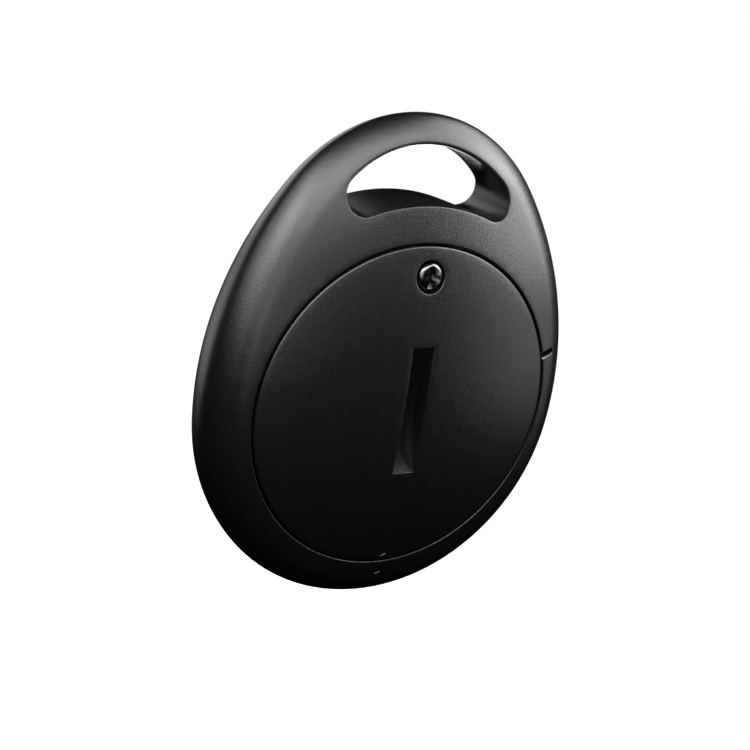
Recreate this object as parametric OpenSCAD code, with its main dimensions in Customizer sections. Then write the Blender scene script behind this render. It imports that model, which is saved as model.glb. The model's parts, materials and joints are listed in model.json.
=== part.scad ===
// Bluetooth tracker tag: an egg-shaped tag with a key-ring opening, a coin-slot battery cover
// held by a captive safety screw, and a press-button front with a piezo sounder behind it.
// It hangs upright: +Z points to the key-ring opening, -Y out of the back with the battery cover,
// and the origin is on the cover's axis at the front face.
// Each piece is drawn lying on the front face, with the cover's axis along Z, and then set upright.

/* [Body outline] */
// Radius of the round bottom end
bottom_r = 19.6; // [19.2:0.1:20]
// Height of the bottom arc's centre
bottom_y = -1.1; // [-1.5:0.1:-0.8]
// Angle below horizontal where the bottom arc meets the side arcs
shoulder_angle = 5.5; // [4:0.5:8]
// Radius of the long side arcs
side_r = 34.5; // [32:0.5:37]
// Radius of the narrow top end
top_r = 16; // [15.5:0.1:16.4]

/* [Body thickness] */
// Height of the back face where the cover's seam lies
seam_z = 8.6; // [8.4:0.1:8.8]
// Radius of the domed back face
dome_r = 78; // [70:1:90]
// Height of the rim's widest line, as a share of the way from the front face to the back face
rim_level = 0.61; // [0.5:0.01:0.65]
// How far in from the outline the rim's rounding reaches
rim_w = 2.7; // [2:0.1:2.8]
// How fast the front face rises outside its flat middle, per mm squared
front_rise = 0.005; // [0.002:0.0005:0.005]
// Radius of the flat middle of the front face
front_flat_r = 17; // [16.9:0.05:17.4]

/* [Key-ring opening] */
// Radius of the opening's lower edge, about the cover's axis
ring_low_r = 19.45; // [19:0.05:19.8]
// Radius of the opening's upper edge
ring_top_r = 11.8; // [11.7:0.05:12.3]
// Height of the upper edge's centre
ring_top_y = 12.95; // [12.7:0.05:13.1]
// Radius of the opening's two ends
ring_end_r = 1.75; // [1.6:0.05:2.2]

/* [Battery cover] */
// Radius of the cover
cover_r = 15.9; // [15.7:0.05:15.95]
// Gap between the cover's edge and the body
cover_gap = 0.22; // [0.15:0.01:0.3]
// Height of the ledge that the cover sits on
ledge_z = 7.4; // [7.3:0.05:7.5]
// Length of the coin slot at the surface
slot_len = 12.8; // [11:0.1:14]
// Width of the coin slot
slot_w = 2.3; // [1.8:0.1:2.6]
// Depth of the coin slot at its middle
slot_depth = 1.8; // [1.4:0.1:1.9]

/* [Safety screw] */
// Distance of the screw from the cover's axis
screw_y = 13.1; // [13:0.05:13.2]
// Radius of the counterbore around the screw head
screw_bore_r = 1.56; // [1.55:0.01:1.65]
// Radius of the screw head
screw_head_r = 1.36; // [1.3:0.01:1.48]
// Radius over the screw's thread
screw_shank_r = 0.75; // [0.7:0.01:0.75]

/* [Battery] */
// Diameter of the coin cell
cell_d = 20; // [19.8:0.1:20]
// Thickness of the coin cell
cell_t = 3.2; // [3:0.05:3.2]

/* [Front button] */
// Radius of the button's face
button_r = 12; // [11.5:0.1:12.05]
// Radius of the hole that the button stands in
button_hole_r = 12.15; // [12.12:0.01:12.2]
// How far the button travels
button_travel = 0.3; // [0.2:0.05:0.3]

/* [Hidden] */
$fn = 72;
over = 1;

// Side arcs: both meet the bottom arc at the shoulder and the top arc above
side_x = (side_r - bottom_r) * cos(shoulder_angle);
side_y = bottom_y + (side_r - bottom_r) * sin(shoulder_angle);
top_y = side_y + sqrt(pow(side_r - top_r, 2) - pow(side_x, 2));
crown_angle = atan2(top_y - side_y, side_x);
seam_r = cover_r + cover_gap;

// Inside of the body
cavity_r = 15.6;
panel_t = 1.2;
panel_r = 16.8;
recess_r = 16.88;
glue_t = 0.15;
ledge_t = 1.2;
ledge_r = 14.3;
lug_r = 14.85;
lug_angles = [30, 150, 270];
lug_span = 20;
lug_play = 3;

// Layers from the front face up to the battery
board_z = 2.7;
board_t = 0.8;
board_r = 15;
floor_z = board_z + board_t;
floor_t = 0.4;
cell_r = cell_d / 2;
cell_z = floor_z + floor_t + 0.2;
cradle_in_r = cell_r + 0.25;
cradle_out_r = cell_r + 1.3;
cradle_r = 15.4;

// Screw, its boss and its retaining ring
boss_r = 2.3;
boss_z = 2.75;
boss_top = ledge_z - 0.2;
insert_r = 1.3;
insert_bore_r = 0.8;
insert_top = 4.8;
ring_z = 4.95;
ring_t = 0.35;
ring_r = 1.25;
head_seat_z = 8.1;
head_t = 1.3;
screw_tip_z = 2.8;

// Front button stack
flange_z = panel_t + 0.25;
flange_t = 0.4;
flange_r = 13.1;
plate_t = 0.85;
brass_t = 0.2;
ceramic_t = 0.15;
bumper_t = 0.4;
plunger_t = 0.5;
brass_z = plate_t;
ceramic_z = brass_z + brass_t;
bumper_z = ceramic_z + ceramic_t;
plunger_z = bumper_z + bumper_t;

// Points along an arc about c, from angle a to angle b, in n steps
function arc(c, r, a, b, n) = [
    for (i = [0:n]) c + r * [cos(a + (b - a) * i / n), sin(a + (b - a) * i / n)]
];
function drop_last(p) = [for (i = [0:len(p) - 2]) p[i]];

// Egg outline moved in by s: every arc keeps its centre and loses s of radius
function egg(s) = concat(
    drop_last(arc([0, bottom_y], bottom_r - s, -90, -shoulder_angle, 13)),
    drop_last(arc([-side_x, side_y], side_r - s, -shoulder_angle, crown_angle, 8)),
    drop_last(arc([0, top_y], top_r - s, crown_angle, 180 - crown_angle, 20)),
    drop_last(arc([side_x, side_y], side_r - s, 180 - crown_angle, 180 + shoulder_angle, 8)),
    drop_last(arc([0, bottom_y], bottom_r - s, 180 + shoulder_angle, 270, 13))
);

// Heights of the domed back and of the front face over a point
function back_z(p) = seam_z + sqrt(dome_r * dome_r - p * p) - sqrt(dome_r * dome_r - seam_r * seam_r);
function front_z(p) = front_rise * max(0, p * p - front_flat_r * front_flat_r);
function widest_z(p) = front_z(p) + rim_level * (back_z(p) - front_z(p));

// Rings of the body: the rim's quarter-ellipse first, then steps across the face
rim_steps = 6;
face_insets = [5, 8.5, 12];
function rim_ring(face, k) = [
    for (p = egg(rim_w * (1 - cos(90 * k / rim_steps))))
        let (edge_z = widest_z(p), face_z = face > 0 ? back_z(p) : front_z(p))
        [p.x, p.y, edge_z + (face_z - edge_z) * sin(90 * k / rim_steps)]
];
function face_ring(face, s) = [for (p = egg(s)) [p.x, p.y, face > 0 ? back_z(p) : front_z(p)]];
function join(lists) = [for (l = lists) for (v = l) v];

module outer_body() {
    n = len(egg(0));
    rings = concat(
        [for (i = [len(face_insets) - 1:-1:0]) face_ring(-1, face_insets[i])],
        [for (k = [rim_steps:-1:1]) rim_ring(-1, k)],
        [for (k = [0:rim_steps]) rim_ring(1, k)],
        [for (s = face_insets) face_ring(1, s)]
    );
    last = len(rings) - 1;
    middle = [0, (bottom_y + top_y) / 2];
    low_tip = len(rings) * n;
    high_tip = low_tip + 1;
    faces = concat(
        join([for (r = [0:last - 1]) join([for (i = [0:n - 1])
            let (a = r * n + i, b = r * n + (i + 1) % n)
            [[a, a + n, b], [b, a + n, b + n]]
        ])]),
        [for (i = [0:n - 1]) [low_tip, i, (i + 1) % n]],
        [for (i = [0:n - 1]) [high_tip, last * n + (i + 1) % n, last * n + i]]
    );
    tips = [[middle.x, middle.y, front_z(middle)], [middle.x, middle.y, back_z(middle)]];
    polyhedron(concat(join(rings), tips), faces, convexity = 6);
}

// Bean-shaped key-ring opening: a lower arc about the cover's axis, an upper arc, and round ends
module ring_opening() {
    reach = ring_low_r + ring_end_r;
    inner = ring_top_r - ring_end_r;
    end_y = (reach * reach - inner * inner + ring_top_y * ring_top_y) / (2 * ring_top_y);
    end_x = sqrt(reach * reach - end_y * end_y);
    low_a = atan2(end_y, end_x);
    top_a = atan2(end_y - ring_top_y, end_x);
    outline = concat(
        drop_last(arc([0, 0], ring_low_r, 180 - low_a, low_a, 12)),
        drop_last(arc([end_x, end_y], ring_end_r, low_a - 180, top_a, 8)),
        drop_last(arc([0, ring_top_y], ring_top_r, top_a, 180 - top_a, 18)),
        drop_last(arc([-end_x, end_y], ring_end_r, 180 - top_a, 360 - low_a, 8))
    );
    translate([0, 0, -over])
        linear_extrude(seam_z + 2 * over)
            polygon(outline);
}

// Small engraved arrowhead, pointing down the part
mark_w = 0.9;
mark_h = 0.42;
mark_line = 0.2;
mark_depth = 0.15;
module arrowhead() {
    polygon([
        [-mark_w / 2, mark_h / 2], [0, mark_line - mark_h / 2], [mark_w / 2, mark_h / 2],
        [mark_w / 2, mark_h / 2 - mark_line], [0, -mark_h / 2], [-mark_w / 2, mark_h / 2 - mark_line]
    ]);
}
module mark_cut(y) {
    translate([0, y, back_z([0, y]) - mark_depth])
        linear_extrude(over)
            arrowhead();
}
cover_mark_y = -15.3;
body_mark_y = -17.5;

// Part of a ring about the cover's axis, between two angles
module ring_sector(r_in, r_out, z, t, middle_angle, span) {
    translate([0, 0, z])
        rotate(middle_angle - span / 2)
            rotate_extrude(angle = span)
                translate([r_in, 0])
                    square([r_out - r_in, t]);
}
// Turns a piece from lying on the front face to hanging from the key-ring opening
module upright() {
    rotate([90, 0, 0])
        children();
}
module tube(r_in, r_out, z, t) {
    translate([0, 0, z])
        difference() {
            cylinder(r = r_out, h = t);
            translate([0, 0, -over])
                cylinder(r = r_in, h = t + 2 * over);
        }
}
module at_angle(a, r) {
    rotate(a)
        translate([r, 0, 0])
            children();
}

// Pry notch in the body beside the seam
notch_angle = 18;
notch_w = 0.6;
notch_out_r = 17.6;
notch_floor_z = 7.7;

module main_shell() {
    color("#202022") upright()
        difference() {
            union() {
                difference() {
                    outer_body();
                    // Battery opening above the ledge
                    translate([0, 0, ledge_z])
                        cylinder(r = seam_r, h = 4);
                    translate([0, 0, panel_t])
                        cylinder(r = ledge_r, h = 10);
                    // Room for the board and cradle, then the recess for the front panel
                    translate([0, 0, panel_t])
                        cylinder(r = cavity_r, h = ledge_z - ledge_t - panel_t);
                    translate([0, 0, -over])
                        cylinder(r = recess_r, h = over + panel_t + glue_t);
                    for (a = lug_angles)
                        ring_sector(ledge_r - 0.5, lug_r + 0.1, ledge_z - 2, 3, a, lug_span + 2 * lug_play);
                }
                // Boss that holds the threaded insert, joined to the ledge
                translate([0, screw_y, boss_z])
                    cylinder(r = boss_r, h = boss_top - boss_z);
            }
            ring_opening();
            translate([0, screw_y, 0]) {
                cylinder(r = insert_r, h = 6);
                translate([0, 0, insert_top])
                    cylinder(r = ring_r + 0.2, h = 5);
            }
            mark_cut(body_mark_y);
            rotate(notch_angle)
                translate([cover_r - 0.5, -notch_w / 2, notch_floor_z])
                    cube([notch_out_r - cover_r + 0.5, notch_w, 2]);
        }
}

// Front panel: a ring around the button, with pillars that clamp the board
pillar_angles = [60, 120, 200, 340];
pillar_r = 0.6;
pillar_place = 14.3;
led_place = 14.2;
pipe_r = 0.6;
module front_panel() {
    color("#26262a") upright()
        difference() {
            union() {
                cylinder(r = panel_r, h = panel_t);
                for (a = pillar_angles)
                    at_angle(a, pillar_place)
                        cylinder(r = pillar_r, h = board_z);
            }
            translate([0, 0, -over])
                cylinder(r = button_hole_r, h = panel_t + 2 * over);
            translate([0, -led_place, -over])
                cylinder(r = pipe_r, h = panel_t + 2 * over);
        }
}

module panel_adhesive() {
    color("#d8d4c8") upright()
        tube(cavity_r + 0.1, panel_r, panel_t, glue_t);
}

// Cradle: a floor on the board, a wall round the cell and an outer ring up to the ledge
stake_angles = [10, 170, 250];
stake_place = 13.9;
stake_r = 0.45;
stake_head_r = 0.75;
contact_window_w = 5;
contact_gap_w = 1.4;
wall_top = 7;
module battery_cradle() {
    color("#5b5f66") upright()
        difference() {
            union() {
                translate([0, 0, floor_z])
                    cylinder(r = cradle_r, h = floor_t);
                tube(cradle_in_r, cradle_out_r, floor_z, wall_top - floor_z);
                tube(lug_r + 0.1, cradle_r, floor_z, ledge_z - ledge_t - floor_z);
                for (a = stake_angles)
                    at_angle(a, stake_place) {
                        translate([0, 0, board_z])
                            cylinder(r = stake_r, h = board_t + 0.1);
                        translate([0, 0, board_z - 0.3])
                            cylinder(r = stake_head_r, h = 0.3);
                    }
            }
            // Clearance for the screw boss
            translate([0, screw_y, -over])
                cylinder(r = boss_r + 0.1, h = 12);
            // Window for the side contact, opposite the boss
            translate([-contact_window_w / 2, -cradle_out_r - over, floor_z - over])
                cube([contact_window_w, over + 2, 10]);
            // Hole for the centre contact's foot
            translate([0, 0, floor_z - over])
                cylinder(r = contact_gap_w / 2, h = 3);
        }
}

module circuit_board() {
    color("#15502c") upright()
        difference() {
            translate([0, 0, board_z])
                cylinder(r = board_r, h = board_t);
            translate([0, screw_y, 0])
                cylinder(r = boss_r + 0.2, h = 8);
            translate([-boss_r - 0.2, screw_y, 0])
                cube([2 * boss_r + 0.4, 4, 8]);
            for (a = stake_angles)
                at_angle(a, stake_place)
                    cylinder(r = stake_r, h = 8);
        }
}

// Parts on the front side of the board, which hang down from it
module on_board(x, y, size, turn = 0) {
    translate([x, y, board_z - size.z])
        rotate(turn)
            translate([-size.x / 2, -size.y / 2, 0])
                cube(size);
}

module radio_chip() {
    color("#2a2a2c") upright()
        on_board(0, -6.2, [5, 5, 0.8]);
}

module crystal() {
    color("#c9c9c4") upright()
        on_board(5, -7.4, [2, 1.6, 0.5]);
}

module inductor() {
    color("#6a6f78") upright()
        on_board(-5, -7.4, [2, 1.6, 0.8]);
}

antenna_angle = 300;
antenna_place = 13.95;
module chip_antenna() {
    color("#e9e6dc") upright()
        rotate(antenna_angle)
            on_board(antenna_place, 0, [1.2, 4.6, 0.5]);
}

// Two rows of decoupling capacitors beside the radio chip
small_part = [0.5, 1, 0.45];
row_pitch = 1.1;
module capacitors() {
    color("#b49a72") upright()
        for (side = [-1, 1])
            for (i = [0:4])
                on_board(side * 3.3, -9.6 + i * row_pitch * 1.4, small_part, 90);
}

module resistors() {
    color("#303034") upright()
        for (i = [0:4])
            on_board((i - 2) * row_pitch, -10.4, small_part);
}

module status_led() {
    color("#f2f2e6") upright()
        on_board(0, -led_place, [1.6, 0.8, 0.45]);
}

module light_pipe() {
    color("#dfe8ee") upright()
        translate([0, -led_place, 0]) {
            cylinder(r = pipe_r, h = 2.1);
            translate([0, 0, panel_t])
                cylinder(r = pipe_r + 0.3, h = 0.3);
        }
}

// Low tactile switch in the middle of the board, its well open towards the button
switch_size = [4, 3.4, 0.75];
plunger_r = 0.9;
module switch_body() {
    color("#c4c6c8") upright()
        difference() {
            on_board(0, 0, switch_size);
            translate([0, 0, plunger_z])
                cylinder(r = plunger_r + 0.1, h = plunger_t + button_travel + 0.1);
        }
}

module switch_plunger() {
    color("#e8e2d2") upright()
        translate([0, 0, plunger_z])
            cylinder(r = plunger_r, h = plunger_t);
}

// Two leaf springs that carry the sounder's drive from the board to the disc
spring_w = 1;
spring_t = 0.12;
module leaf_spring(x, y, tip_z) {
    rise = board_z - tip_z;
    run = 1.8;
    translate([x, y + spring_w / 2, board_z])
        rotate([90, 0, 0])
            linear_extrude(spring_w)
                polygon([
                    [0, 0], [0, -spring_t], [run, -rise + spring_t], [run, -rise],
                    [run + 0.6, -rise], [run + 0.6, -rise + spring_t], [run + 0.1, -rise + spring_t],
                    [spring_t, -spring_t], [spring_t + 0.9, -spring_t], [spring_t + 0.9, 0]
                ]);
}
module buzzer_springs() {
    color("#cfa85a") upright() {
        leaf_spring(3, 0, bumper_z);
        mirror([1, 0, 0])
            leaf_spring(6, 0, ceramic_z);
    }
}

// Side contact: an upright strip against the cell, with a foot on the board
contact_t = 0.15;
module positive_contact() {
    color("#d6d6d2") upright()
        translate([-1.5, 0, 0]) {
            translate([0, -cell_r - 0.03 - contact_t, floor_z])
                cube([3, contact_t, 3.2]);
            translate([0, -cradle_out_r + 0.1, floor_z])
                cube([3, 1.3, contact_t]);
        }
}

// Centre contact: three spring arms round a hub, with a foot through the cradle's floor
module negative_contact() {
    color("#d6d6d2") upright() {
        translate([0, 0, floor_z + floor_t])
            for (a = [90, 210, 330])
                rotate(a)
                    translate([0, -0.7, 0])
                        cube([6, 1.4, contact_t]);
        translate([0, 0, floor_z])
            cylinder(r = 0.65, h = floor_t + contact_t);
    }
}

module threaded_insert() {
    color("#c79b45") upright()
        translate([0, screw_y, 0])
            tube(insert_bore_r, insert_r, boss_z + 0.1, insert_top - boss_z - 0.1);
}

module button_seal() {
    color("#3a3a3c") upright()
        tube(button_hole_r + 0.1, flange_r - 0.1, panel_t, flange_z - panel_t);
}

// Cover: a domed disc with a skirt and three lugs, a coin slot and the screw's counterbore
skirt_in_r = 13;
skirt_out_r = 14.15;
skirt_z = 5.5;
lug_t = 0.6;
pad_r = 8;
pad_t = 0.4;
pad_room_r = 10.6;
pad_room_z = 7.75;
seal_in_r = 15;
seal_out_r = 15.6;
seal_t = 0.48;
slot_y = 0.25;
// The scoop's depth is counted from where the domed face meets the slot's ends
slot_sag = slot_depth - (back_z([0, 0]) - back_z([0, slot_len / 2]));
slot_floor_r = (slot_len * slot_len / 4 + slot_sag * slot_sag) / (2 * slot_sag);
module battery_cover() {
    crown_z = back_z([0, 0]);
    color("#1e1e20") upright()
        difference() {
            union() {
                intersection() {
                    translate([0, 0, ledge_z])
                        cylinder(r = cover_r, h = 4);
                    translate([0, 0, crown_z - dome_r])
                        sphere(r = dome_r, $fn = 200);
                }
                tube(skirt_in_r, skirt_out_r, skirt_z, ledge_z - skirt_z + 0.1);
                for (a = lug_angles)
                    ring_sector(skirt_out_r - 0.2, lug_r, skirt_z, lug_t, a, lug_span);
            }
            // Coin slot with a scooped floor
            translate([-slot_w / 2, slot_y, crown_z - slot_depth + slot_floor_r])
                rotate([0, 90, 0])
                    cylinder(r = slot_floor_r, h = slot_w);
            // Counterbore, screw hole, and room in the skirt for the boss
            translate([0, screw_y, head_seat_z])
                cylinder(r = screw_bore_r, h = 3);
            translate([0, screw_y, ledge_z - over])
                cylinder(r = 0.95, h = 4);
            translate([0, screw_y, skirt_z - over])
                cylinder(r = boss_r + 0.3, h = ledge_z - skirt_z + over);
            // Room for the pad and groove for the seal
            translate([0, 0, ledge_z - over])
                cylinder(r = pad_room_r, h = pad_room_z - ledge_z + over);
            tube(seal_in_r - 0.05, seal_out_r + 0.05, ledge_z - 0.5, 1);
            mark_cut(cover_mark_y);
        }
}

module cover_seal() {
    color("#8c3a2c") upright()
        tube(seal_in_r, seal_out_r, ledge_z + 0.01, seal_t);
}

module battery_pad() {
    color("#4a4a4c") upright()
        translate([0, 0, pad_room_z - pad_t])
            cylinder(r = pad_r, h = pad_t);
}

module screw_retaining_ring() {
    color("#e6e6e0") upright()
        translate([0, screw_y, 0])
            tube(screw_shank_r + 0.03, ring_r, ring_z, ring_t);
}

// Low pan head with a cross recess, and a shank down to the insert
recess_w = 0.5;
recess_len = 2.1;
recess_depth = 0.6;
head_dome_r = 3.65;
module cover_screw() {
    head_top = head_seat_z + head_t;
    color("#2b2b2e") upright()
        translate([0, screw_y, 0])
            difference() {
                union() {
                    intersection() {
                        translate([0, 0, head_seat_z])
                            cylinder(r = screw_head_r, h = head_t);
                        translate([0, 0, head_top - head_dome_r])
                            sphere(r = head_dome_r);
                    }
                    translate([0, 0, screw_tip_z])
                        cylinder(r = screw_shank_r, h = head_seat_z - screw_tip_z + 0.1);
                }
                for (a = [0, 90])
                    rotate(a)
                        translate([-recess_len / 2, -recess_w / 2, head_top - recess_depth])
                            cube([recess_len, recess_w, 1]);
            }
}

// Coin cell: the can with a recess underneath for the cap and its sealing ring
cap_r = 8.7;
cap_seal_r = 9.1;
cap_step = 0.15;
module battery_can() {
    color("#cfd1d4") upright()
        difference() {
            translate([0, 0, cell_z + cap_step])
                cylinder(r = cell_r, h = cell_t - cap_step);
            translate([0, 0, cell_z])
                cylinder(r = cap_seal_r, h = 0.6);
        }
}

module battery_cap() {
    color("#bfc1c4") upright()
        translate([0, 0, cell_z])
            cylinder(r = cap_r, h = 0.6);
}

module battery_gasket() {
    color("#55585c") upright()
        tube(cap_r, cap_seal_r, cell_z + cap_step, 0.6 - cap_step);
}

// Button: a thin plate with a rim, and a flange that stays behind the panel
button_cup_r = 11.2;
module front_button() {
    color("#232326") upright()
        difference() {
            union() {
                cylinder(r = button_r, h = flange_z);
                translate([0, 0, flange_z])
                    cylinder(r = flange_r, h = flange_t);
            }
            translate([0, 0, plate_t])
                cylinder(r = button_cup_r, h = 3);
        }
}

module piezo_disc() {
    color("#c9a04c") upright()
        translate([0, 0, brass_z])
            cylinder(r = 10, h = brass_t);
}

module piezo_ceramic() {
    color("#e4e0d6") upright()
        translate([0, 0, ceramic_z])
            cylinder(r = 7, h = ceramic_t);
}

module button_bumper() {
    color("#4c4c50") upright()
        translate([0, 0, bumper_z])
            cylinder(r = 1.2, h = bumper_t);
}

main_shell();
front_panel();
panel_adhesive();
battery_cradle();
circuit_board();
radio_chip();
crystal();
inductor();
chip_antenna();
capacitors();
resistors();
status_led();
light_pipe();
switch_body();
buzzer_springs();
positive_contact();
negative_contact();
threaded_insert();
button_seal();
battery_cover();
cover_seal();
battery_pad();
screw_retaining_ring();
cover_screw();
battery_can();
battery_cap();
battery_gasket();
front_button();
piezo_disc();
piezo_ceramic();
button_bumper();
switch_plunger();
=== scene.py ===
import json
import math

import bmesh
import bpy
import numpy as np
from mathutils import Matrix, Vector
from mathutils.geometry import delaunay_2d_cdt


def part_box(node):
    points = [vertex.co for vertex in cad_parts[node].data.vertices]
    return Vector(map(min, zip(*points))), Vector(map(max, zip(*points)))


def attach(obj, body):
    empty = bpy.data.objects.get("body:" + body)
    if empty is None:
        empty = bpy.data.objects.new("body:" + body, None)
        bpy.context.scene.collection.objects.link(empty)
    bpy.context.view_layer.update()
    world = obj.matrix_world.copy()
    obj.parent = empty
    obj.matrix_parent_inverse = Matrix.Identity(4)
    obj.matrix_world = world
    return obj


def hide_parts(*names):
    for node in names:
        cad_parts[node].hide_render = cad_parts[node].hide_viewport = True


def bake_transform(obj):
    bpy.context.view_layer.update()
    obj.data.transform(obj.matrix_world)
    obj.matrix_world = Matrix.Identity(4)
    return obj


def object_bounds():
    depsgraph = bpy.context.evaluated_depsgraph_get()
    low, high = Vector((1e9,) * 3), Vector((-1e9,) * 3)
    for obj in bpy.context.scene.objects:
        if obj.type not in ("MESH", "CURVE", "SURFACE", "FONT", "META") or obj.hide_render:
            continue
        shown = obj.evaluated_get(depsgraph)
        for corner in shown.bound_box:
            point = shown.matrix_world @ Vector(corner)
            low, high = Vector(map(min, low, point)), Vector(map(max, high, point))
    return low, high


# Shapes are built lying on the front face, in millimetres: across, along and height.
# place() sets them upright in the frame: across is +X, along is +Z, and height is -Y.
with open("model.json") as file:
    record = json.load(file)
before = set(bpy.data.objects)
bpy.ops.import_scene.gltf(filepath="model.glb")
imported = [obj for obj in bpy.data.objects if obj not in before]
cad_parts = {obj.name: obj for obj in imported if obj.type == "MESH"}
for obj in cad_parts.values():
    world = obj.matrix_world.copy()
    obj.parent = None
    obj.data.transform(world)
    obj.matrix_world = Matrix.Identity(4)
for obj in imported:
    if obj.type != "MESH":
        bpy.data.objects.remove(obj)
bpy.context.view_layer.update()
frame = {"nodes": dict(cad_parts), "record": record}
MM = 0.001


def place(p):
    return (p[0] * MM, -p[2] * MM, p[1] * MM)


def lying(node):
    low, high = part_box(node)
    return (
        [round(low.x / MM, 3), round(low.z / MM, 3), round(-high.y / MM, 3)],
        [round(high.x / MM, 3), round(high.z / MM, 3), round(-low.y / MM, 3)],
    )


# ---------------------------------------------------------------- body outline and faces
shell_low = lying("main_shell")[0]
cover_high = lying("battery_cover")[1]
BOTTOM_R = 19.6
SIDE_R = 34.5
TOP_R = 16.0
SHOULDER = 5.5
BOTTOM_Y = shell_low[1] + BOTTOM_R
SIDE_X = (SIDE_R - BOTTOM_R) * math.cos(math.radians(SHOULDER))
SIDE_Y = BOTTOM_Y + (SIDE_R - BOTTOM_R) * math.sin(math.radians(SHOULDER))
TOP_Y = SIDE_Y + math.sqrt((SIDE_R - TOP_R) ** 2 - SIDE_X**2)
CROWN = math.degrees(math.atan2(TOP_Y - SIDE_Y, SIDE_X))
COVER_R = cover_high[0]
SEAM_R = COVER_R + 0.22
SEAM_Z = 8.6
DOME_R = 78.0
RIM_W = 2.7
RIM_LEVEL = 0.61
FRONT_RISE = 0.005
FRONT_FLAT_R = 17.0
RING_LOW_R = 19.45
RING_TOP_R = 11.8
RING_TOP_Y = 12.95
RING_END_R = 1.75
LEDGE_Z = 7.4
PANEL_T = 1.2
RECESS_R = 16.88
SCREW_Y = 13.1
LUG_ANGLES = (30, 150, 270)


def arc(centre, r, a, b, n):
    t = np.radians(np.linspace(a, b, n + 1))
    return np.stack([centre[0] + r * np.cos(t), centre[1] + r * np.sin(t)], 1)


def chain(*parts):
    return np.concatenate([part[:-1] for part in parts])


def circle(r, n=256, centre=(0, 0)):
    return arc(centre, r, -90, 270, n)[:-1]


def egg(s):
    """Body outline moved in by s."""
    return chain(
        arc((0, BOTTOM_Y), BOTTOM_R - s, -90, -SHOULDER, 72),
        arc((-SIDE_X, SIDE_Y), SIDE_R - s, -SHOULDER, CROWN, 62),
        arc((0, TOP_Y), TOP_R - s, CROWN, 180 - CROWN, 80),
        arc((SIDE_X, SIDE_Y), SIDE_R - s, 180 - CROWN, 180 + SHOULDER, 62),
        arc((0, BOTTOM_Y), BOTTOM_R - s, 180 + SHOULDER, 270, 72),
    )


def inset(p):
    """How far each point lies inside the body outline."""
    x, y = np.abs(p[:, 0]), p[:, 1]
    low = BOTTOM_R - np.hypot(x, y - BOTTOM_Y)
    side = SIDE_R - np.hypot(x + SIDE_X, y - SIDE_Y)
    top = TOP_R - np.hypot(x, y - TOP_Y)
    below = np.arctan2(y - BOTTOM_Y, x) < -math.radians(SHOULDER)
    above = np.arctan2(y - TOP_Y, x) > math.radians(CROWN)
    return np.where(below, low, np.where(above, top, side))


def dome(p):
    q = (np.asarray(p) ** 2).sum(-1)
    return SEAM_Z + np.sqrt(DOME_R**2 - q) - math.sqrt(DOME_R**2 - SEAM_R**2)


def front(p):
    return FRONT_RISE * np.maximum(0, (np.asarray(p) ** 2).sum(-1) - FRONT_FLAT_R**2)


def face(p, side):
    """Height of the back (side 1) or front (side -1) face, with the rim's rounding."""
    s = np.clip(inset(p), 0, RIM_W)
    share = np.sqrt(np.maximum(0, 1 - (1 - s / RIM_W) ** 2))
    widest = front(p) + RIM_LEVEL * (dome(p) - front(p))
    return widest + ((dome(p) if side > 0 else front(p)) - widest) * share


def opening(t):
    """Outline of the key-ring opening grown by t."""
    reach = RING_LOW_R + RING_END_R
    inner = RING_TOP_R - RING_END_R
    end_y = (reach**2 - inner**2 + RING_TOP_Y**2) / (2 * RING_TOP_Y)
    end_x = math.sqrt(reach**2 - end_y**2)
    low_a = math.degrees(math.atan2(end_y, end_x))
    top_a = math.degrees(math.atan2(end_y - RING_TOP_Y, end_x))
    return chain(
        arc((0, 0), RING_LOW_R - t, 180 - low_a, low_a, 60),
        arc((end_x, end_y), RING_END_R + t, low_a - 180, top_a, 24),
        arc((0, RING_TOP_Y), RING_TOP_R + t, top_a, 180 - top_a, 84),
        arc((-end_x, end_y), RING_END_R + t, 180 - top_a, 360 - low_a, 24),
    )


# ---------------------------------------------------------------- mesh building
def lift(p, z):
    p = np.asarray(p, float)
    return np.column_stack([p, np.broadcast_to(z, len(p))])


def inside(p, loops):
    """Which points lie within the region that the loops bound."""
    hit = np.zeros(len(p), bool)
    for loop in loops:
        a, b = loop, np.roll(loop, -1, 0)
        for k in range(0, len(p), 2000):
            q = p[k : k + 2000, None]
            cross = (a[:, 1] > q[..., 1]) != (b[:, 1] > q[..., 1])
            run = np.where(a[:, 1] == b[:, 1], 1, b[:, 1] - a[:, 1])
            x = a[:, 0] + (q[..., 1] - a[:, 1]) * (b[:, 0] - a[:, 0]) / run
            hit[k : k + 2000] ^= (cross & (q[..., 0] < x)).sum(1) % 2 == 1
    return hit


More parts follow.
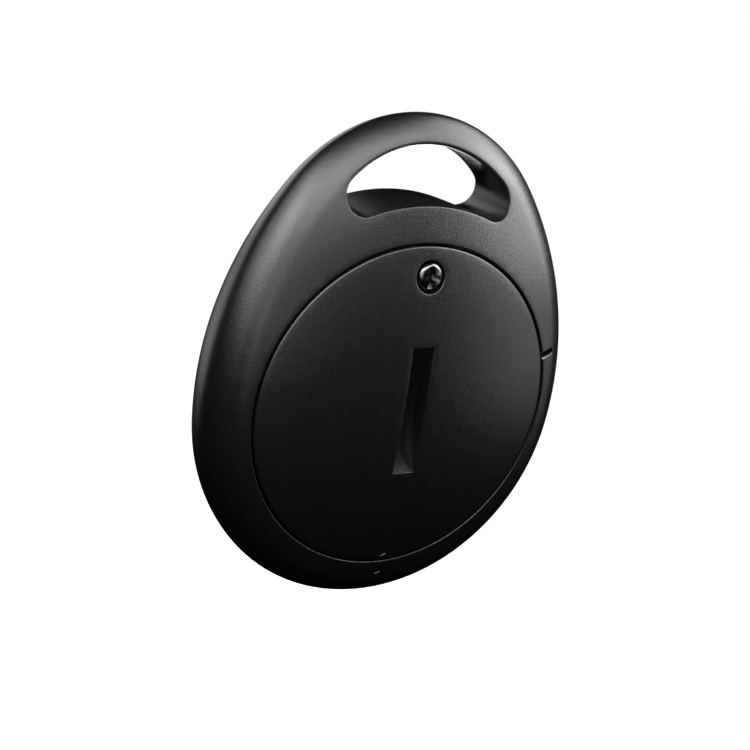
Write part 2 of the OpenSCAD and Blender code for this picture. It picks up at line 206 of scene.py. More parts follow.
class Skin:
    """Rows, bands and filled regions that together close one solid."""

    def __init__(self):
        self.points = []
        self.faces = []

    def row(self, pts):
        first = len(self.points)
        self.points.extend([tuple(float(c) for c in p) for p in pts])
        return list(range(first, first + len(pts)))

    def bands(self, rows, closed=True):
        ids = [self.row(r) for r in rows]
        for a, b in zip(ids, ids[1:]):
            for i in range(len(a) if closed else len(a) - 1):
                j = (i + 1) % len(a)
                self.faces.append((a[i], a[j], b[j], b[i]))

    def fill(self, loops, height, step):
        """Fills the region between the loops with even triangles at the given height."""
        flat = [np.asarray(loop, float)[:, :2] for loop in loops]
        edge = np.concatenate(flat)
        low, high = edge.min(0), edge.max(0)
        rows = np.arange(low[1], high[1], step * math.sqrt(3) / 2)
        grid = np.array([
            (x, y)
            for i, y in enumerate(rows)
            for x in np.arange(low[0] + step / 2 * (i % 2), high[0], step)
        ])
        grid = grid[inside(grid, flat)]
        keep = np.ones(len(grid), bool)
        for k in range(0, len(grid), 1000):
            q = grid[k : k + 1000, None]
            gap = np.sqrt(((q - edge) ** 2).sum(-1)).min(1)
            keep[k : k + 1000] = gap > 0.62 * step
        grid = grid[keep]
        every = np.concatenate([edge, grid])
        lines, first = [], 0
        for loop in flat:
            n = len(loop)
            lines += [(first + i, first + (i + 1) % n) for i in range(n)]
            first += n
        made = delaunay_2d_cdt([Vector(p) for p in every], lines, [], 0, 1e-6)
        points = np.array([tuple(p) for p in made[0]])
        tri = np.array([f for f in made[2] if len(f) == 3])
        tri = tri[inside(points[tri].mean(1), flat)]
        z = np.asarray(height(points), float) * np.ones(len(points))
        heights = np.concatenate([np.asarray(loop, float)[:, 2] for loop in loops])
        for i, source in enumerate(made[3]):
            if source and source[0] < len(edge):
                z[i] = heights[source[0]]
        ids = self.row(np.column_stack([points, z]))
        self.faces += [tuple(ids[k] for k in t) for t in tri]


def mesh_of(name, skin):
    """A closed mesh in the frame, its doubled points merged and its normals outward."""
    mesh = bpy.data.meshes.new(name)
    mesh.from_pydata([place(p) for p in skin.points], [], skin.faces)
    bm = bmesh.new()
    bm.from_mesh(mesh)
    bmesh.ops.remove_doubles(bm, verts=bm.verts, dist=2e-6)
    bmesh.ops.dissolve_degenerate(bm, edges=bm.edges, dist=1e-7)
    bmesh.ops.recalc_face_normals(bm, faces=bm.faces)
    bm.to_mesh(mesh)
    bm.free()
    return mesh


def thing(name, skin):
    obj = bpy.data.objects.new(name, mesh_of(name, skin))
    bpy.context.scene.collection.objects.link(obj)
    return obj


def cut(obj, tool, operation="DIFFERENCE"):
    """Joins a tool to the piece or takes it away, then removes the tool."""
    change = obj.modifiers.new("cut", "BOOLEAN")
    change.operation = operation
    change.solver = "EXACT"
    change.object = tool
    bpy.context.view_layer.update()
    made = bpy.data.meshes.new_from_object(obj.evaluated_get(bpy.context.evaluated_depsgraph_get()))
    obj.modifiers.clear()
    old, obj.data = obj.data, made
    bpy.data.meshes.remove(old)
    bpy.data.objects.remove(tool)
    bm = bmesh.new()
    bm.from_mesh(made)
    bmesh.ops.remove_doubles(bm, verts=bm.verts, dist=5e-7)
    bmesh.ops.dissolve_degenerate(bm, edges=bm.edges, dist=1e-7)
    bm.to_mesh(made)
    bm.free()
    made.name = obj.name
    return obj


def soften(corners, closed=True, steps=5):
    """Profile of (radius, height, rounding) corners, each rounded by an arc of that radius."""
    out = []
    n = len(corners)
    for i, (r, z, w) in enumerate(corners):
        here = np.array([r, z], float)
        if w <= 0 or (not closed and i in (0, n - 1)):
            out.append(here)
            continue
        a = np.array(corners[i - 1][:2], float) - here
        b = np.array(corners[(i + 1) % n][:2], float) - here
        a, b = a / np.linalg.norm(a), b / np.linalg.norm(b)
        half = math.acos(max(-1, min(1, a @ b))) / 2
        mid = (a + b) / np.linalg.norm(a + b)
        centre = here + mid * w / math.sin(half)
        start, end = here + a * w / math.tan(half), here + b * w / math.tan(half)
        t0 = math.atan2(*(start - centre)[::-1])
        t1 = math.atan2(*(end - centre)[::-1])
        turn = (t1 - t0 + math.pi) % (2 * math.pi) - math.pi
        for k in range(steps + 1):
            t = t0 + turn * k / steps
            out.append(centre + w * np.array([math.cos(t), math.sin(t)]))
    return out


def turned(corners, n=192, centre=(0, 0), solid=True, skin=None):
    """A turned solid. A solid profile starts and ends on the axis; otherwise it is a closed ring."""
    skin = skin or Skin()
    profile = soften(corners, closed=not solid)
    rows = [lift(circle(r, n, centre), z) for r, z in profile if r > 1e-6]
    if not solid:
        rows.append(rows[0])
    skin.bands(rows)
    if solid:
        for row, height in ((rows[0], profile[0][1]), (rows[-1], profile[-1][1])):
            skin.fill([row], lambda p, h=height: h, max(0.4, 0.12 * np.ptp(row[:, 0])))
    return skin


def prism(outlines, skin=None):
    """A closed solid through outlines of equal length, each a list of 3-D points."""
    skin = skin or Skin()
    rows = [np.asarray(o, float) for o in outlines]
    skin.bands(rows)
    for row in (rows[0], rows[-1]):
        ids = skin.row(row)
        skin.faces.append(tuple(ids))
    return skin


def sector(r_in, r_out, z0, z1, middle, span):
    a, b = middle - span / 2, middle + span / 2
    outline = np.concatenate([arc((0, 0), r_out, a, b, 16), arc((0, 0), r_in, b, a, 16)])
    return prism([lift(outline, z0), lift(outline, z1)])


def widen(outline, t):
    """Outline moved outwards by t, with square corners; the outline runs anticlockwise."""
    p = np.asarray(outline, float)
    e = np.roll(p, -1, 0) - p
    e /= np.linalg.norm(e, axis=1)[:, None]
    n = np.stack([e[:, 1], -e[:, 0]], 1)
    m = np.roll(n, 1, 0)
    return p + t * (n + m) / (1 + (n * m).sum(1))[:, None]


def arrowhead(y):
    half_w, half_h, line = 0.45, 0.21, 0.16
    return np.array([
        (-half_w, y + half_h), (-half_w, y + half_h - line), (0, y - half_h),
        (half_w, y + half_h - line), (half_w, y + half_h), (0, y + line - half_h),
    ])


def groove(outline):
    """Cutter for an engraved line with sloping sides."""
    levels = ((-0.07, -0.08), (0.0, 0.0), (0.05, 0.055))
    return prism([lift(widen(outline, t), dome(outline) + z) for t, z in levels])


def lip_rows(outline, ground, f, steps=5):
    """Rounded edge of radius f: rows from the face down to the wall of outline(grown by t)."""
    rows = []
    for k in range(steps + 1):
        turn = math.pi / 2 * k / steps
        p = outline(f * (1 - math.sin(turn)))
        rows.append(lift(p, ground(p) - f * (1 - math.cos(turn))))
    return rows


def opening_rows(ground, steps=7):
    """Rounded edge of the opening: wide along the bar, narrow along the lower arc and the ends."""
    wall = opening(0)
    outward = opening(1) - wall
    share = np.clip((wall[:, 1] - RING_BLEND[0]) / (RING_BLEND[1] - RING_BLEND[0]), 0, 1)
    f = OPENING_EDGE + (BAR_EDGE - OPENING_EDGE) * share**2 * (3 - 2 * share)
    rows = []
    for k in range(steps + 1):
        turn = math.pi / 2 * k / steps
        p = wall + outward * (f * (1 - math.sin(turn)))[:, None]
        rows.append(lift(p, ground(p) - f * (1 - math.cos(turn))))
    return rows


# ---------------------------------------------------------------- procedural materials
def finish(name, colour, rough, metallic=0.0, grain=None, wear=None, tint=None, clear=0.0):
    """A shader whose roughness and surface grain come from noise over the piece."""
    mat = bpy.data.materials.new(name)
    mat.use_nodes = True
    tree = mat.node_tree
    shader = tree.nodes["Principled BSDF"]
    shader.inputs["Base Color"].default_value = (*colour, 1)
    shader.inputs["Metallic"].default_value = metallic
    shader.inputs["Roughness"].default_value = rough
    shader.inputs["Transmission Weight"].default_value = clear
    where = tree.nodes.new("ShaderNodeTexCoord")

    def noise(scale, detail=2.0):
        made = tree.nodes.new("ShaderNodeTexNoise")
        made.inputs["Scale"].default_value = scale
        made.inputs["Detail"].default_value = detail
        tree.links.new(where.outputs["Object"], made.inputs["Vector"])
        return made

    if wear:
        spread, scale = wear
        ramp = tree.nodes.new("ShaderNodeMapRange")
        ramp.inputs["From Min"].default_value = 0.3
        ramp.inputs["From Max"].default_value = 0.7
        ramp.inputs["To Min"].default_value = rough - spread
        ramp.inputs["To Max"].default_value = rough + spread
        tree.links.new(noise(scale).outputs["Fac"], ramp.inputs["Value"])
        tree.links.new(ramp.outputs["Result"], shader.inputs["Roughness"])
    if tint:
        other, scale = tint
        ramp = tree.nodes.new("ShaderNodeValToRGB")
        ramp.color_ramp.elements[0].position = 0.35
        ramp.color_ramp.elements[0].color = (*colour, 1)
        ramp.color_ramp.elements[1].position = 0.65
        ramp.color_ramp.elements[1].color = (*other, 1)
        tree.links.new(noise(scale).outputs["Fac"], ramp.inputs["Fac"])
        tree.links.new(ramp.outputs["Color"], shader.inputs["Base Color"])
    if grain:
        strength, height, scale = grain
        bump = tree.nodes.new("ShaderNodeBump")
        bump.inputs["Strength"].default_value = strength
        bump.inputs["Distance"].default_value = height * MM
        tree.links.new(noise(scale).outputs["Fac"], bump.inputs["Height"])
        tree.links.new(bump.outputs["Normal"], shader.inputs["Normal"])
    return mat


# grain is strength, height in millimetres and noise scale; wear and tint end in their noise scale
BODY_GRAIN = (1.0, 0.02, 8500)
MATERIALS = {
    "body_plastic": dict(colour=(0.0022, 0.0022, 0.0023), rough=0.32, grain=BODY_GRAIN, wear=(0.01, 900)),
    "cover_plastic": dict(colour=(0.0022, 0.0022, 0.0023), rough=0.32, grain=BODY_GRAIN, wear=(0.01, 900)),
    "panel_plastic": dict(colour=(0.006, 0.006, 0.0063), rough=0.5, grain=BODY_GRAIN, wear=(0.01, 900)),
    "button_plastic": dict(colour=(0.006, 0.006, 0.0063), rough=0.44, grain=BODY_GRAIN, wear=(0.01, 900)),
    "frame_plastic": dict(
        colour=(0.05, 0.052, 0.056), rough=0.55, grain=(0.6, 0.01, 3000), wear=(0.05, 500)
    ),
    "adhesive": dict(colour=(0.6, 0.58, 0.5), rough=0.7, grain=(0.5, 0.02, 1500)),
    "board": dict(
        colour=(0.005, 0.06, 0.02), rough=0.35, tint=((0.008, 0.085, 0.03), 900), grain=(0.4, 0.01, 1200)
    ),
    "chip_plastic": dict(colour=(0.012, 0.012, 0.013), rough=0.5, grain=(0.6, 0.008, 5000)),
    "crystal_can": dict(colour=(0.72, 0.71, 0.68), rough=0.3, metallic=1.0, grain=(0.3, 0.004, 4000)),
    "inductor_core": dict(colour=(0.11, 0.115, 0.125), rough=0.6, grain=(0.7, 0.02, 2500)),
    "antenna_ceramic": dict(colour=(0.75, 0.72, 0.64), rough=0.4, grain=(0.4, 0.008, 3000)),
    "capacitor_body": dict(colour=(0.36, 0.24, 0.12), rough=0.45, grain=(0.5, 0.008, 4000)),
    "resistor_body": dict(colour=(0.02, 0.02, 0.022), rough=0.35, grain=(0.4, 0.006, 4000)),
    "led_body": dict(colour=(0.8, 0.78, 0.66), rough=0.35, grain=(0.3, 0.006, 4000)),
    "light_guide": dict(colour=(0.85, 0.88, 0.9), rough=0.2, clear=0.6, grain=(0.2, 0.004, 3000)),
    "switch_metal": dict(colour=(0.68, 0.68, 0.67), rough=0.35, metallic=1.0, grain=(0.3, 0.005, 3000)),
    "plunger_plastic": dict(colour=(0.72, 0.66, 0.52), rough=0.5, grain=(0.4, 0.008, 3000)),
    "spring_gold": dict(colour=(0.78, 0.54, 0.2), rough=0.3, metallic=1.0, grain=(0.3, 0.004, 3000)),
    "contact_steel": dict(colour=(0.7, 0.69, 0.66), rough=0.3, metallic=1.0, grain=(0.3, 0.004, 3000)),
    "insert_brass": dict(colour=(0.7, 0.47, 0.18), rough=0.3, metallic=1.0, grain=(0.4, 0.005, 3000)),
    "seal_dark": dict(colour=(0.02, 0.02, 0.021), rough=0.6, grain=(0.6, 0.01, 2500)),
    "seal_red": dict(colour=(0.32, 0.04, 0.025), rough=0.5, grain=(0.6, 0.01, 2500)),
    "foam": dict(
        colour=(0.05, 0.05, 0.052), rough=0.95, tint=((0.09, 0.09, 0.094), 3500), grain=(1.0, 0.09, 3200)
    ),
    "ring_nylon": dict(colour=(0.75, 0.74, 0.7), rough=0.45, grain=(0.4, 0.006, 3000)),
    "screw_steel": dict(colour=(0.12, 0.12, 0.125), rough=0.2, metallic=1.0, grain=(0.25, 0.003, 5000)),
    "cell_steel": dict(
        colour=(0.72, 0.73, 0.74), rough=0.27, metallic=1.0, grain=(0.3, 0.004, 2500), wear=(0.05, 350)
    ),
    "cell_cap": dict(
        colour=(0.66, 0.67, 0.68), rough=0.33, metallic=1.0, grain=(0.3, 0.004, 2500), wear=(0.05, 350)
    ),
    "cell_gasket": dict(colour=(0.06, 0.062, 0.066), rough=0.55, grain=(0.4, 0.006, 3000)),
    "piezo_brass": dict(colour=(0.75, 0.56, 0.26), rough=0.3, metallic=1.0, grain=(0.3, 0.004, 2500)),
    "piezo_ceramic": dict(colour=(0.72, 0.7, 0.64), rough=0.55, grain=(0.5, 0.008, 3000)),
}
painted = {}


def material(slot):
    if slot not in painted:
        painted[slot] = finish(slot, **MATERIALS[slot])
    return painted[slot]


node_slot = {part["node"]: part["material_slot"] for part in frame["record"]["subparts"]}


def done(obj, body, *nodes, sharp=35):
    """Shades the piece, ties it to its body, hides the nodes it stands for and gives it their finish."""
    obj.data.shade_smooth()
    obj.data.set_sharp_from_angle(angle=math.radians(sharp))
    obj.data.materials.clear()
    obj.data.materials.append(material(node_slot[nodes[0]]))
    if body:
        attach(obj, body)
    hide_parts(*nodes)
    return obj


# ---------------------------------------------------------------- main shell
RIM_INSET = 1.6
SEAM_EDGE = 0.18
OPENING_EDGE = 0.12
BAR_EDGE = 0.4
RING_BLEND = (20.2, 21.6)
RECESS_EDGE = 0.12
BARREL = 0.06
NOTCH_ANGLE = 18
NOTCH_FLOOR = 7.7
NOTCH_IN_R = 15.2
NOTCH_CORNER = 0.08


def back(p):
    return face(p, 1)


def underside(p):
    return face(p, -1)


def raised(p):
    return -underside(p)


def notch_tool():
    """Cutter for the pry notch: a narrow groove with one wide bevel along its lower side."""
    turn = math.radians(NOTCH_ANGLE)
    along = np.array([math.cos(turn), math.sin(turn)])
    across = np.array([-along[1], along[0]])
    rows = []
    # Lower side, upper side, outer end and height above the dome, from the floor up
    levels = (
        (-0.36, 0.3, 17.58, None), (-0.36, 0.3, 17.58, -0.14), (-0.5, 0.33, 17.62, 0.0), (-0.9, 0.4, 17.7, 0.4)
    )
    for low, high, out, rise in levels:
        corners = [
            (NOTCH_IN_R, low), (out - NOTCH_CORNER, low), (out, low + NOTCH_CORNER),
            (out, high - NOTCH_CORNER), (out - NOTCH_CORNER, high), (NOTCH_IN_R, high)
        ]
        outline = np.array([r * along + w * across for r, w in corners])
        rows.append(lift(outline, NOTCH_FLOOR if rise is None else dome(outline) + rise))
    return prism(rows)


def build_shell():
    skin = Skin()
    steps = 16
    limit = math.acos(1 - RIM_INSET / RIM_W)
    rim = []
    for k in range(steps, -steps - 1, -1):
        p = egg(RIM_W * (1 - math.cos(limit * k / steps)))
        rim.append(lift(p, face(p, 1 if k >= 0 else -1)))
    skin.bands(rim)
    seam = lip_rows(lambda t: circle(SEAM_R + t), back, SEAM_EDGE)
    hole_back = opening_rows(back)
    hole_front = opening_rows(raised)
    recess = lip_rows(lambda t: circle(RECESS_R + t), raised, RECESS_EDGE)
    for row in hole_front + recess:
        row[:, 2] *= -1
    wall = []
    for share in np.linspace(0, 1, 11)[1:-1]:
        p = opening(-BARREL * 4 * share * (1 - share))
        top, low = hole_back[-1][:, 2], hole_front[-1][:, 2]
        wall.append(lift(p, top + (low - top) * share))
    skin.bands(hole_back + wall + hole_front[::-1])
    inner = [(SEAM_R, LEDGE_Z), (14.3, LEDGE_Z), (14.3, 6.2), (15.6, 6.2), (15.6, 1.35), (RECESS_R, 1.35)]
    skin.bands(seam + [lift(circle(r), z) for r, z in inner] + recess[::-1])
    skin.fill([rim[0], seam[0], hole_back[0]], back, 0.45)
    skin.fill([rim[-1], recess[0], hole_front[0]], underside, 0.45)
    shell = thing("tag_shell", skin)
    boss_low, boss_high = 2.75, LEDGE_Z - 0.2
    cut(shell, thing("boss", turned([(0, boss_low, 0), (2.3, boss_low, 0.2), (2.3, boss_high, 0.15),
                                     (0, boss_high, 0)], 72, (0, SCREW_Y))), "UNION")
    tools = turned([(0, 2, 0), (1.3, 2, 0), (1.3, 4.8, 0), (1.45, 4.8, 0), (1.45, 7.1, 0), (1.75, 7.4, 0),
                    (1.75, 8, 0), (0, 8, 0)], 72, (0, SCREW_Y))
    cut(shell, thing("bore", tools))
    for a in LUG_ANGLES:
        cut(shell, thing("gap", sector(13.8, 14.95, 5.4, 8.4, a, 26)))
    cut(shell, thing("notch", notch_tool()))
    cut(shell, thing("mark", groove(arrowhead(-17.5))))
    return done(shell, "body", "main_shell")


# ---------------------------------------------------------------- battery cover
COVER_EDGE = 0.16
SLOT_W = 2.3
SLOT_LEN = 12.8
SLOT_DEPTH = 1.8
SLOT_Y = 0.25
SLOT_LIP = 0.07
SLOT_CORNER = 0.12
CROWN_Z = float(dome(np.array([0.0, 0.0])))
SLOT_SAG = SLOT_DEPTH - CROWN_Z + float(dome(np.array([0.0, SLOT_LEN / 2])))
SLOT_R = (SLOT_LEN**2 / 4 + SLOT_SAG**2) / (2 * SLOT_SAG)


def slot_floor(p):
    return CROWN_Z - SLOT_DEPTH + SLOT_R - np.sqrt(SLOT_R**2 - (np.asarray(p)[..., 1] - SLOT_Y) ** 2)


def slot_end(sign):
    """Distance from the slot's middle at which its floor meets the lip's lower edge."""
    low, high = 4.0, SLOT_LEN / 2 + 1
    for _ in range(40):
        mid = (low + high) / 2
        p = np.array([0, SLOT_Y + sign * mid])
        if slot_floor(p) < dome(p) - SLOT_LIP:
            low = mid
        else:
            high = mid
    return low


def slot_outline(t):
    x = SLOT_W / 2 - SLOT_CORNER
    top = SLOT_Y + slot_end(1) - SLOT_CORNER
    low = SLOT_Y - slot_end(-1) + SLOT_CORNER
    r = SLOT_CORNER + t
    rise = np.linspace(low, top, 41)
    run = np.linspace(-x, x, 9)
    return chain(
        np.stack([np.full(41, x + r), rise], 1), arc((x, top), r, 0, 90, 4),
        np.stack([run[::-1], np.full(9, top + r)], 1), arc((-x, top), r, 90, 180, 4),
        np.stack([np.full(41, -x - r), rise[::-1]], 1), arc((-x, low), r, 180, 270, 4),
        np.stack([run, np.full(9, low - r)], 1), arc((x, low), r, 270, 360, 4),
    )


COVER_ROOF_Z = 7.75
BORE_R = 1.56
SEAT_Z = 8.1


def build_cover():
    skin = Skin()
    edge = lip_rows(lambda t: circle(COVER_R - t), dome, COVER_EDGE, 6)
    # From the rim inwards: the seal's groove, the skirt and the space over the cell
    profile = [
        (COVER_R, LEDGE_Z + 0.1), (COVER_R - 0.1, LEDGE_Z), (15.65, LEDGE_Z), (15.65, 7.9), (14.95, 7.9),
        (14.95, LEDGE_Z), (14.15, LEDGE_Z), (14.15, 5.6), (14.05, 5.5), (13.1, 5.5), (13, 5.6),
        (13, LEDGE_Z), (10.7, LEDGE_Z), (10.6, LEDGE_Z + 0.1), (10.6, COVER_ROOF_Z)
    ]
    under = [lift(circle(r), z) for r, z in profile]
    skin.bands(edge + under)
    skin.fill([under[-1]], lambda p: COVER_ROOF_Z, 1.6)
    slot = lip_rows(slot_outline, dome, SLOT_LIP, 4)
    foot = lift(slot[-1][:, :2], np.minimum(slot_floor(slot[-1][:, :2]), slot[-1][:, 2]))
    skin.bands(slot + [foot])
    skin.fill([foot], slot_floor, 0.3)
    bore = lip_rows(lambda t: circle(BORE_R + t, 72, (0, SCREW_Y)), dome, 0.08, 4)
    seat = lift(circle(BORE_R, 72, (0, SCREW_Y)), SEAT_Z)
    skin.bands(bore + [seat])
    skin.fill([seat], lambda p: SEAT_Z, 0.35)
    skin.fill([edge[0], slot[0], bore[0]], dome, 0.5)
    cover = thing("tag_battery_cover", skin)
    for a in LUG_ANGLES:
        cut(cover, thing("lug", sector(13.6, 14.85, 5.52, 6.1, a, 20)), "UNION")
    for name, r, z0, z1, n in (("room", 2.6, 4.5, 7.42, 72), ("hole", 0.95, 7, 8.6, 48)):
        rod = turned([(0, z0, 0), (r, z0, 0), (r, z1, 0), (0, z1, 0)], n, (0, SCREW_Y))
        cut(cover, thing(name, rod))
    cut(cover, thing("mark", groove(arrowhead(-15.3))))
    return done(cover, "cover", "battery_cover")


# ---------------------------------------------------------------- safety screw
def cross(a, length, width, top, low):
    """One wing of the cross recess: a blade that narrows towards its tip."""
    t = math.radians(a)
    along = np.array([math.cos(t), math.sin(t)])
    side = np.array([-along[1], along[0]])
    rows = []
    levels = (
        (low, length * 0.2, width * 0.38), (top, length / 2, width / 2), (top + 0.4, length * 0.7, width * 0.56)
    )
    for z, half, w in levels:
        outline = [half * along * i + w * side * j for i, j in ((-1, -1), (1, -1), (1, 1), (-1, 1))]
        rows.append(lift(np.array(outline) + (0, SCREW_Y), z))
    return prism(rows)


SHANK_R = 0.75
PITCH = 0.35
THREAD_DEPTH = 0.17


def build_screw():
    low, high = lying("cover_screw")
    seat, top, r = SEAT_Z, high[2], high[0] - 0.04
    skin = Skin()
    profile = soften([
        (0.05, top, 0), (0.6, top - 0.02, 1.5), (r, top - 0.17, 0.4), (r, seat, 0.08), (SHANK_R, seat, 0)
    ], closed=False, steps=12)
    rows = [lift(circle(q, 48, (0, SCREW_Y)), z) for q, z in profile]
    thread_top, tip = seat - 0.35, low[2]
    turns = np.arange(thread_top, tip + 0.25, -PITCH / 8)
    phase = np.arange(48) / 48
    for z in turns:
        wave = np.abs(((z / PITCH - phase) % 1) * 2 - 1)
        fade = min(1, (thread_top - z) / 0.5)
        radius = SHANK_R - THREAD_DEPTH * fade * (1 - wave) ** 0.8
        t = 2 * math.pi * phase - math.pi / 2
        rows.append(np.column_stack([radius * np.cos(t), SCREW_Y + radius * np.sin(t), np.full(48, z)]))
    rows.append(lift(circle(0.5, 48, (0, SCREW_Y)), tip))
    skin.bands(rows)
    for row in (rows[0], rows[-1]):
        skin.faces.append(tuple(skin.row(row)))
    screw = thing("tag_cover_screw", skin)
    for a in (0, 90):
        cut(screw, thing("wing", cross(a, 2.1, 0.52, top - 0.1, top - 0.75)))
    hub = prism([
        lift(circle(radius, 24, (0, SCREW_Y)), top + z) for radius, z in ((0.2, -0.8), (0.42, 0.1))
    ])
    cut(screw, thing("hub", hub))
    return done(screw, "screw", "cover_screw")


# ---------------------------------------------------------------- front, cell and small parts
PANEL_HOLE_R = 12.15
POST_CIRCLE_R = 14.3
POST_ANGLES = (60, 120, 200, 340)
LIGHT_PIPE_Y = -14.2


def build_panel():
    high = lying("front_panel")[1]
    r, t = high[0], PANEL_T
    ring = [(PANEL_HOLE_R, 0, 0.15), (r, 0, 0.25), (r, t, 0.1), (PANEL_HOLE_R, t, 0.1)]
    panel = thing("tag_front_panel", turned(ring, 256, solid=False))
    for a in POST_ANGLES:
        spot = (POST_CIRCLE_R * math.cos(math.radians(a)), POST_CIRCLE_R * math.sin(math.radians(a)))
        post = turned([(0, 0.6, 0), (0.6, 0.6, 0), (0.6, high[2], 0.12), (0, high[2], 0)], 48, spot)
        cut(panel, thing("post", post), "UNION")
    bore = [(0, -1, 0), (0.72, -1, 0), (0.72, 0.02, 0), (0.6, 0.14, 0), (0.6, 2, 0), (0, 2, 0)]
    cut(panel, thing("hole", turned(bore, 48, (0, LIGHT_PIPE_Y))))
    return done(panel, "body", "front_panel")


def build_button():
    top = lying("front_button")[1][2]
    dish = [(0, 0.12, 0), (6, 0.1, 8), (10.6, 0, 6), (12, 0, 0.3)]
    back_side = [
        (12, 1.45, 0.05), (13.1, 1.45, 0.08), (13.1, top, 0.08),
        (11.2, top, 0.05), (11.2, 0.85, 0.1), (0, 0.85, 0)
    ]
    button = thing("tag_front_button", turned(dish + back_side, 256))
    return done(button, "button", "front_button")


CELL_SPLIT_Z = 4.7


def build_cell():
    low, high = lying("battery_can")
    cap_low = lying("battery_cap")[0]
    r, z0, z1 = high[0], low[2], high[2]
    can = turned([
        (0, z1, 0), (8.9, z1, 0.5), (9.15, z1 - 0.05, 0.3), (r, z1 - 0.05, 0.35), (r, z0, 0.3),
        (9.1, z0, 0.06), (9.1, CELL_SPLIT_Z, 0.05), (0, CELL_SPLIT_Z, 0)
    ], 256)
    done(thing("tag_cell_can", can), "battery", "battery_can")
    z = cap_low[2]
    cap = turned([
        (0, z, 0), (7.6, z, 0.6), (7.9, z + 0.12, 0.3), (8.7, z + 0.12, 0.12),
        (8.7, CELL_SPLIT_Z, 0), (0, CELL_SPLIT_Z, 0)
    ], 224)
    done(thing("tag_cell_cap", cap), "battery", "battery_cap")


def small_turned(name, body, node, corners, n=192, centre=(0, 0), solid=False):
    return done(thing(name, turned(corners, n, centre, solid=solid)), body, node)


def build_small():
    low, high = lying("cover_seal")
    small_turned("tag_cover_seal", "cover", "cover_seal",
                 [(15, low[2], 0.2), (15.6, low[2], 0.2), (15.6, high[2], 0.2), (15, high[2], 0.2)], 256)
    low, high = lying("battery_pad")
    small_turned("tag_battery_pad", "cover", "battery_pad",
                 [(0, low[2], 0), (8, low[2], 0.15), (8, high[2], 0.05), (0, high[2], 0)], 160, solid=True)
    low, high = lying("screw_retaining_ring")
    ring = [(0.78, low[2], 0.06), (high[0], low[2], 0.1), (high[0], high[2], 0.1), (0.78, high[2], 0.06)]
    small_turned("tag_retaining_ring", "screw_carrier", "screw_retaining_ring", ring, 64, (0, SCREW_Y))
    low, high = lying("threaded_insert")
    z0, z1 = low[2], high[2]
    n, t = 120, np.arange(120) / 120 * 2 * math.pi
    # Each corner is a radius, a height and whether the knurl is cut there
    profile = [
        (0.8, z1 - 0.1, 0), (0.92, z1, 0), (1.16, z1, 0), (1.2, z1 - 0.12, 0), (1.3, z1 - 0.18, 1),
        (1.3, z1 - 0.8, 1), (1.18, z1 - 0.86, 0), (1.18, z1 - 1.0, 0), (1.3, z1 - 1.06, 1),
        (1.3, z0 + 0.16, 1), (1.2, z0 + 0.1, 0), (1.16, z0, 0), (0.92, z0, 0), (0.8, z0 + 0.1, 0)
    ]
    rows = []
    for r, z, knurl in profile + profile[:1]:
        radius = r - knurl * 0.06 * (0.5 + 0.5 * np.cos(30 * t))
        rows.append(np.column_stack([radius * np.cos(t), SCREW_Y + radius * np.sin(t), np.full(n, z)]))
    skin = Skin()
    skin.bands(rows)
    done(thing("tag_threaded_insert", skin), "body", "threaded_insert")


def build_springs():
    """Two bent leaves on the board whose tips reach the backs of the piezo ceramic and its brass disc."""
    low, high = lying("buzzer_springs")
    foot, run, pad, thick, edge = high[2], 1.8, 0.6, 0.12, 0.02
    half_w = (high[1] - low[1]) / 2
    ceramic_back = lying("piezo_ceramic")[1][2]
    brass_back = lying("piezo_disc")[1][2]
    skin = Skin()
    for start, side, tip in ((3, 1, ceramic_back), (-6, -1, brass_back)):
        drop = tip - foot
        middle_line = np.array(soften([
            (0.9 + thick, -thick / 2, 0), (thick / 2, -thick / 2, 0.1),
            (run, drop + thick / 2, 0.3), (run + pad, drop + thick / 2, 0),
        ], closed=False))
        along = np.gradient(middle_line, axis=0)
        along /= np.linalg.norm(along, axis=1)[:, None]
        across = np.column_stack([-along[:, 1], along[:, 0]]) * thick / 2
        outline = np.concatenate([middle_line + across, (middle_line - across)[::-1]])
        slim = np.concatenate([middle_line + across * 0.7, (middle_line - across * 0.7)[::-1]])
        levels = ((-half_w, slim), (edge - half_w, outline), (half_w - edge, outline), (half_w, slim))
        prism([
            [(start + side * x, y, foot + z) for x, z in shape] for y, shape in levels
        ], skin)
    obj = done(thing("tag_buzzer_springs", skin), None, "buzzer_springs")
    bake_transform(obj)


build_shell()
build_cover()
build_screw()
build_panel()
build_button()
build_cell()
build_small()
build_springs()

# The other pieces keep their frame mesh, with softened edges and their own finish
SOFT_EDGE = {
    "circuit_board": 0.05, "battery_cradle": 0.08, "radio_chip": 0.08, "crystal": 0.12, "inductor": 0.1
}
for name, obj in frame["nodes"].items():
    if obj.hide_render:
        continue
    obj.data.materials.clear()
    obj.data.materials.append(material(node_slot[name]))
    edge = obj.modifiers.new("edge", "BEVEL")
    edge.width = SOFT_EDGE.get(name, 0.03) * MM
    edge.segments = 2
    edge.limit_method = "ANGLE"
    edge.angle_limit = math.radians(40)

# ---------------------------------------------------------------- stage, lights and camera
low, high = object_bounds()
middle = (low + high) / 2


def paint_stage(name, colour, glow):
    mat = bpy.data.materials.new(name)
    mat.use_nodes = True
    shader = mat.node_tree.nodes["Principled BSDF"]
    shader.inputs["Base Color"].default_value = (*colour, 1)
    shader.inputs["Roughness"].default_value = 0.9
    shader.inputs["Specular IOR Level"].default_value = 0.0
    shader.inputs["Emission Color"].default_value = (*colour, 1)
    shader.inputs["Emission Strength"].default_value = glow
    return mat


def flat_square(name, half, z):
    mesh = bpy.data.meshes.new(name)
    corners = [(-half, -half, z), (half, -half, z), (half, half, z), (-half, half, z)]
    mesh.from_pydata(corners, [], [(0, 1, 2, 3)])
    obj = bpy.data.objects.new(name, mesh)
    bpy.context.scene.collection.objects.link(obj)
    return obj


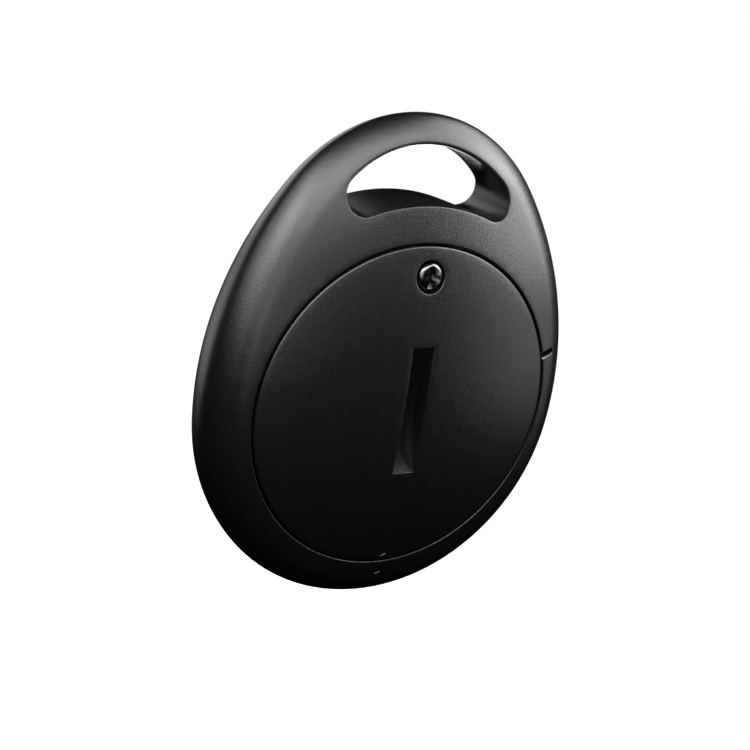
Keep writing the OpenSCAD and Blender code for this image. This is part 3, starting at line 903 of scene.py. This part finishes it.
floor = flat_square("floor", 4.0, low.z - 0.06)
floor.data.materials.append(paint_stage("floor_white", (1, 1, 1), 1.0))
floor.visible_diffuse = False
floor.visible_glossy = False

world = bpy.data.worlds.new("studio")
bpy.context.scene.world = world
world.use_nodes = True
tree = world.node_tree
for old in list(tree.nodes):
    tree.nodes.remove(old)
# White where it is seen, and no light of its own on the tag
out = tree.nodes.new("ShaderNodeOutputWorld")
seen = tree.nodes.new("ShaderNodeBackground")
seen.inputs["Color"].default_value = (1, 1, 1, 1)
rays = tree.nodes.new("ShaderNodeLightPath")
tree.links.new(rays.outputs["Is Camera Ray"], seen.inputs["Strength"])
tree.links.new(seen.outputs["Background"], out.inputs["Surface"])

# Softboxes by role: azimuth and elevation about the tag in degrees, distance and width in metres, and watts
LIGHTS = [
    ("key_left", -50, 45, 0.09, 0.05, 0.050),
    ("key_right", 75, 45, 0.08, 0.05, 0.045),
    ("key_top", -5, 45, 0.07, 0.05, 0.045),
    ("rim_left", -80, 35, 0.19, 0.15, 0.180),
    ("rim_right", 65, 25, 0.08, 0.05, 0.050),
    ("rim_top", 35, 55, 0.06, 0.02, 0.006),
    ("fill_left", -55, 25, 0.08, 0.06, 0.025),
    ("fill_right", 60, -5, 0.11, 0.05, 0.010),
    ("fill_low", -20, 10, 0.07, 0.04, 0.010),
    ("front_high", -175, 25, 0.15, 0.10, 0.050),
    ("front_side", -150, 0, 0.15, 0.10, 0.030),
]


def soft_light(name, azimuth, elevation, distance, width, power, aim=middle, spread=180):
    """A round lamp that looks at aim from azimuth and elevation degrees; spread narrows its beam."""
    a, e = math.radians(azimuth), math.radians(elevation)
    away = Vector((math.sin(a) * math.cos(e), -math.cos(a) * math.cos(e), math.sin(e)))
    lamp = bpy.data.lights.new(name, "AREA")
    lamp.shape = "DISK"
    lamp.size = width
    lamp.energy = power
    lamp.spread = math.radians(spread)
    obj = bpy.data.objects.new(name, lamp)
    obj.visible_camera = False
    obj.location = aim + away * distance
    obj.rotation_mode = "QUATERNION"
    obj.rotation_quaternion = away.to_track_quat("Z", "Y")
    bpy.context.scene.collection.objects.link(obj)


for light in LIGHTS:
    soft_light(*light)
# A narrow beam for the front face that stays clear of the key-ring opening
soft_light("front_sheen", 140, -15, 0.12, 0.03, 0.004, middle + Vector((0, 3, -10)) * MM, 32)

# The camera looks at CAMERA_AIM, in millimetres, from these angles in degrees
CAMERA_AZIMUTH = -33.2
CAMERA_ELEVATION = 17.5
CAMERA_ROLL = 9.2
CAMERA_DISTANCE = 127.3
CAMERA_AIM = (-4.0, -8.6, 3.5)
LENS = 65.8
camera_data = bpy.data.cameras.new("camera")
camera_data.lens = LENS
camera_data.sensor_width = 36
camera_data.clip_start = 0.005
camera_data.clip_end = 20
camera = bpy.data.objects.new("camera", camera_data)
aim = Vector(CAMERA_AIM) * MM
a, e, roll = (math.radians(angle) for angle in (CAMERA_AZIMUTH, CAMERA_ELEVATION, CAMERA_ROLL))
away = Vector((math.sin(a) * math.cos(e), -math.cos(a) * math.cos(e), math.sin(e)))
level = Vector((math.cos(a), math.sin(a), 0))
right = level * math.cos(roll) + away.cross(level) * math.sin(roll)
turn = Matrix((right, away.cross(right), away)).transposed()
camera.matrix_world = Matrix.Translation(aim + away * CAMERA_DISTANCE * MM) @ turn.to_4x4()
bpy.context.scene.collection.objects.link(camera)
bpy.context.scene.camera = camera
bpy.context.scene.view_settings.view_transform = "Standard"
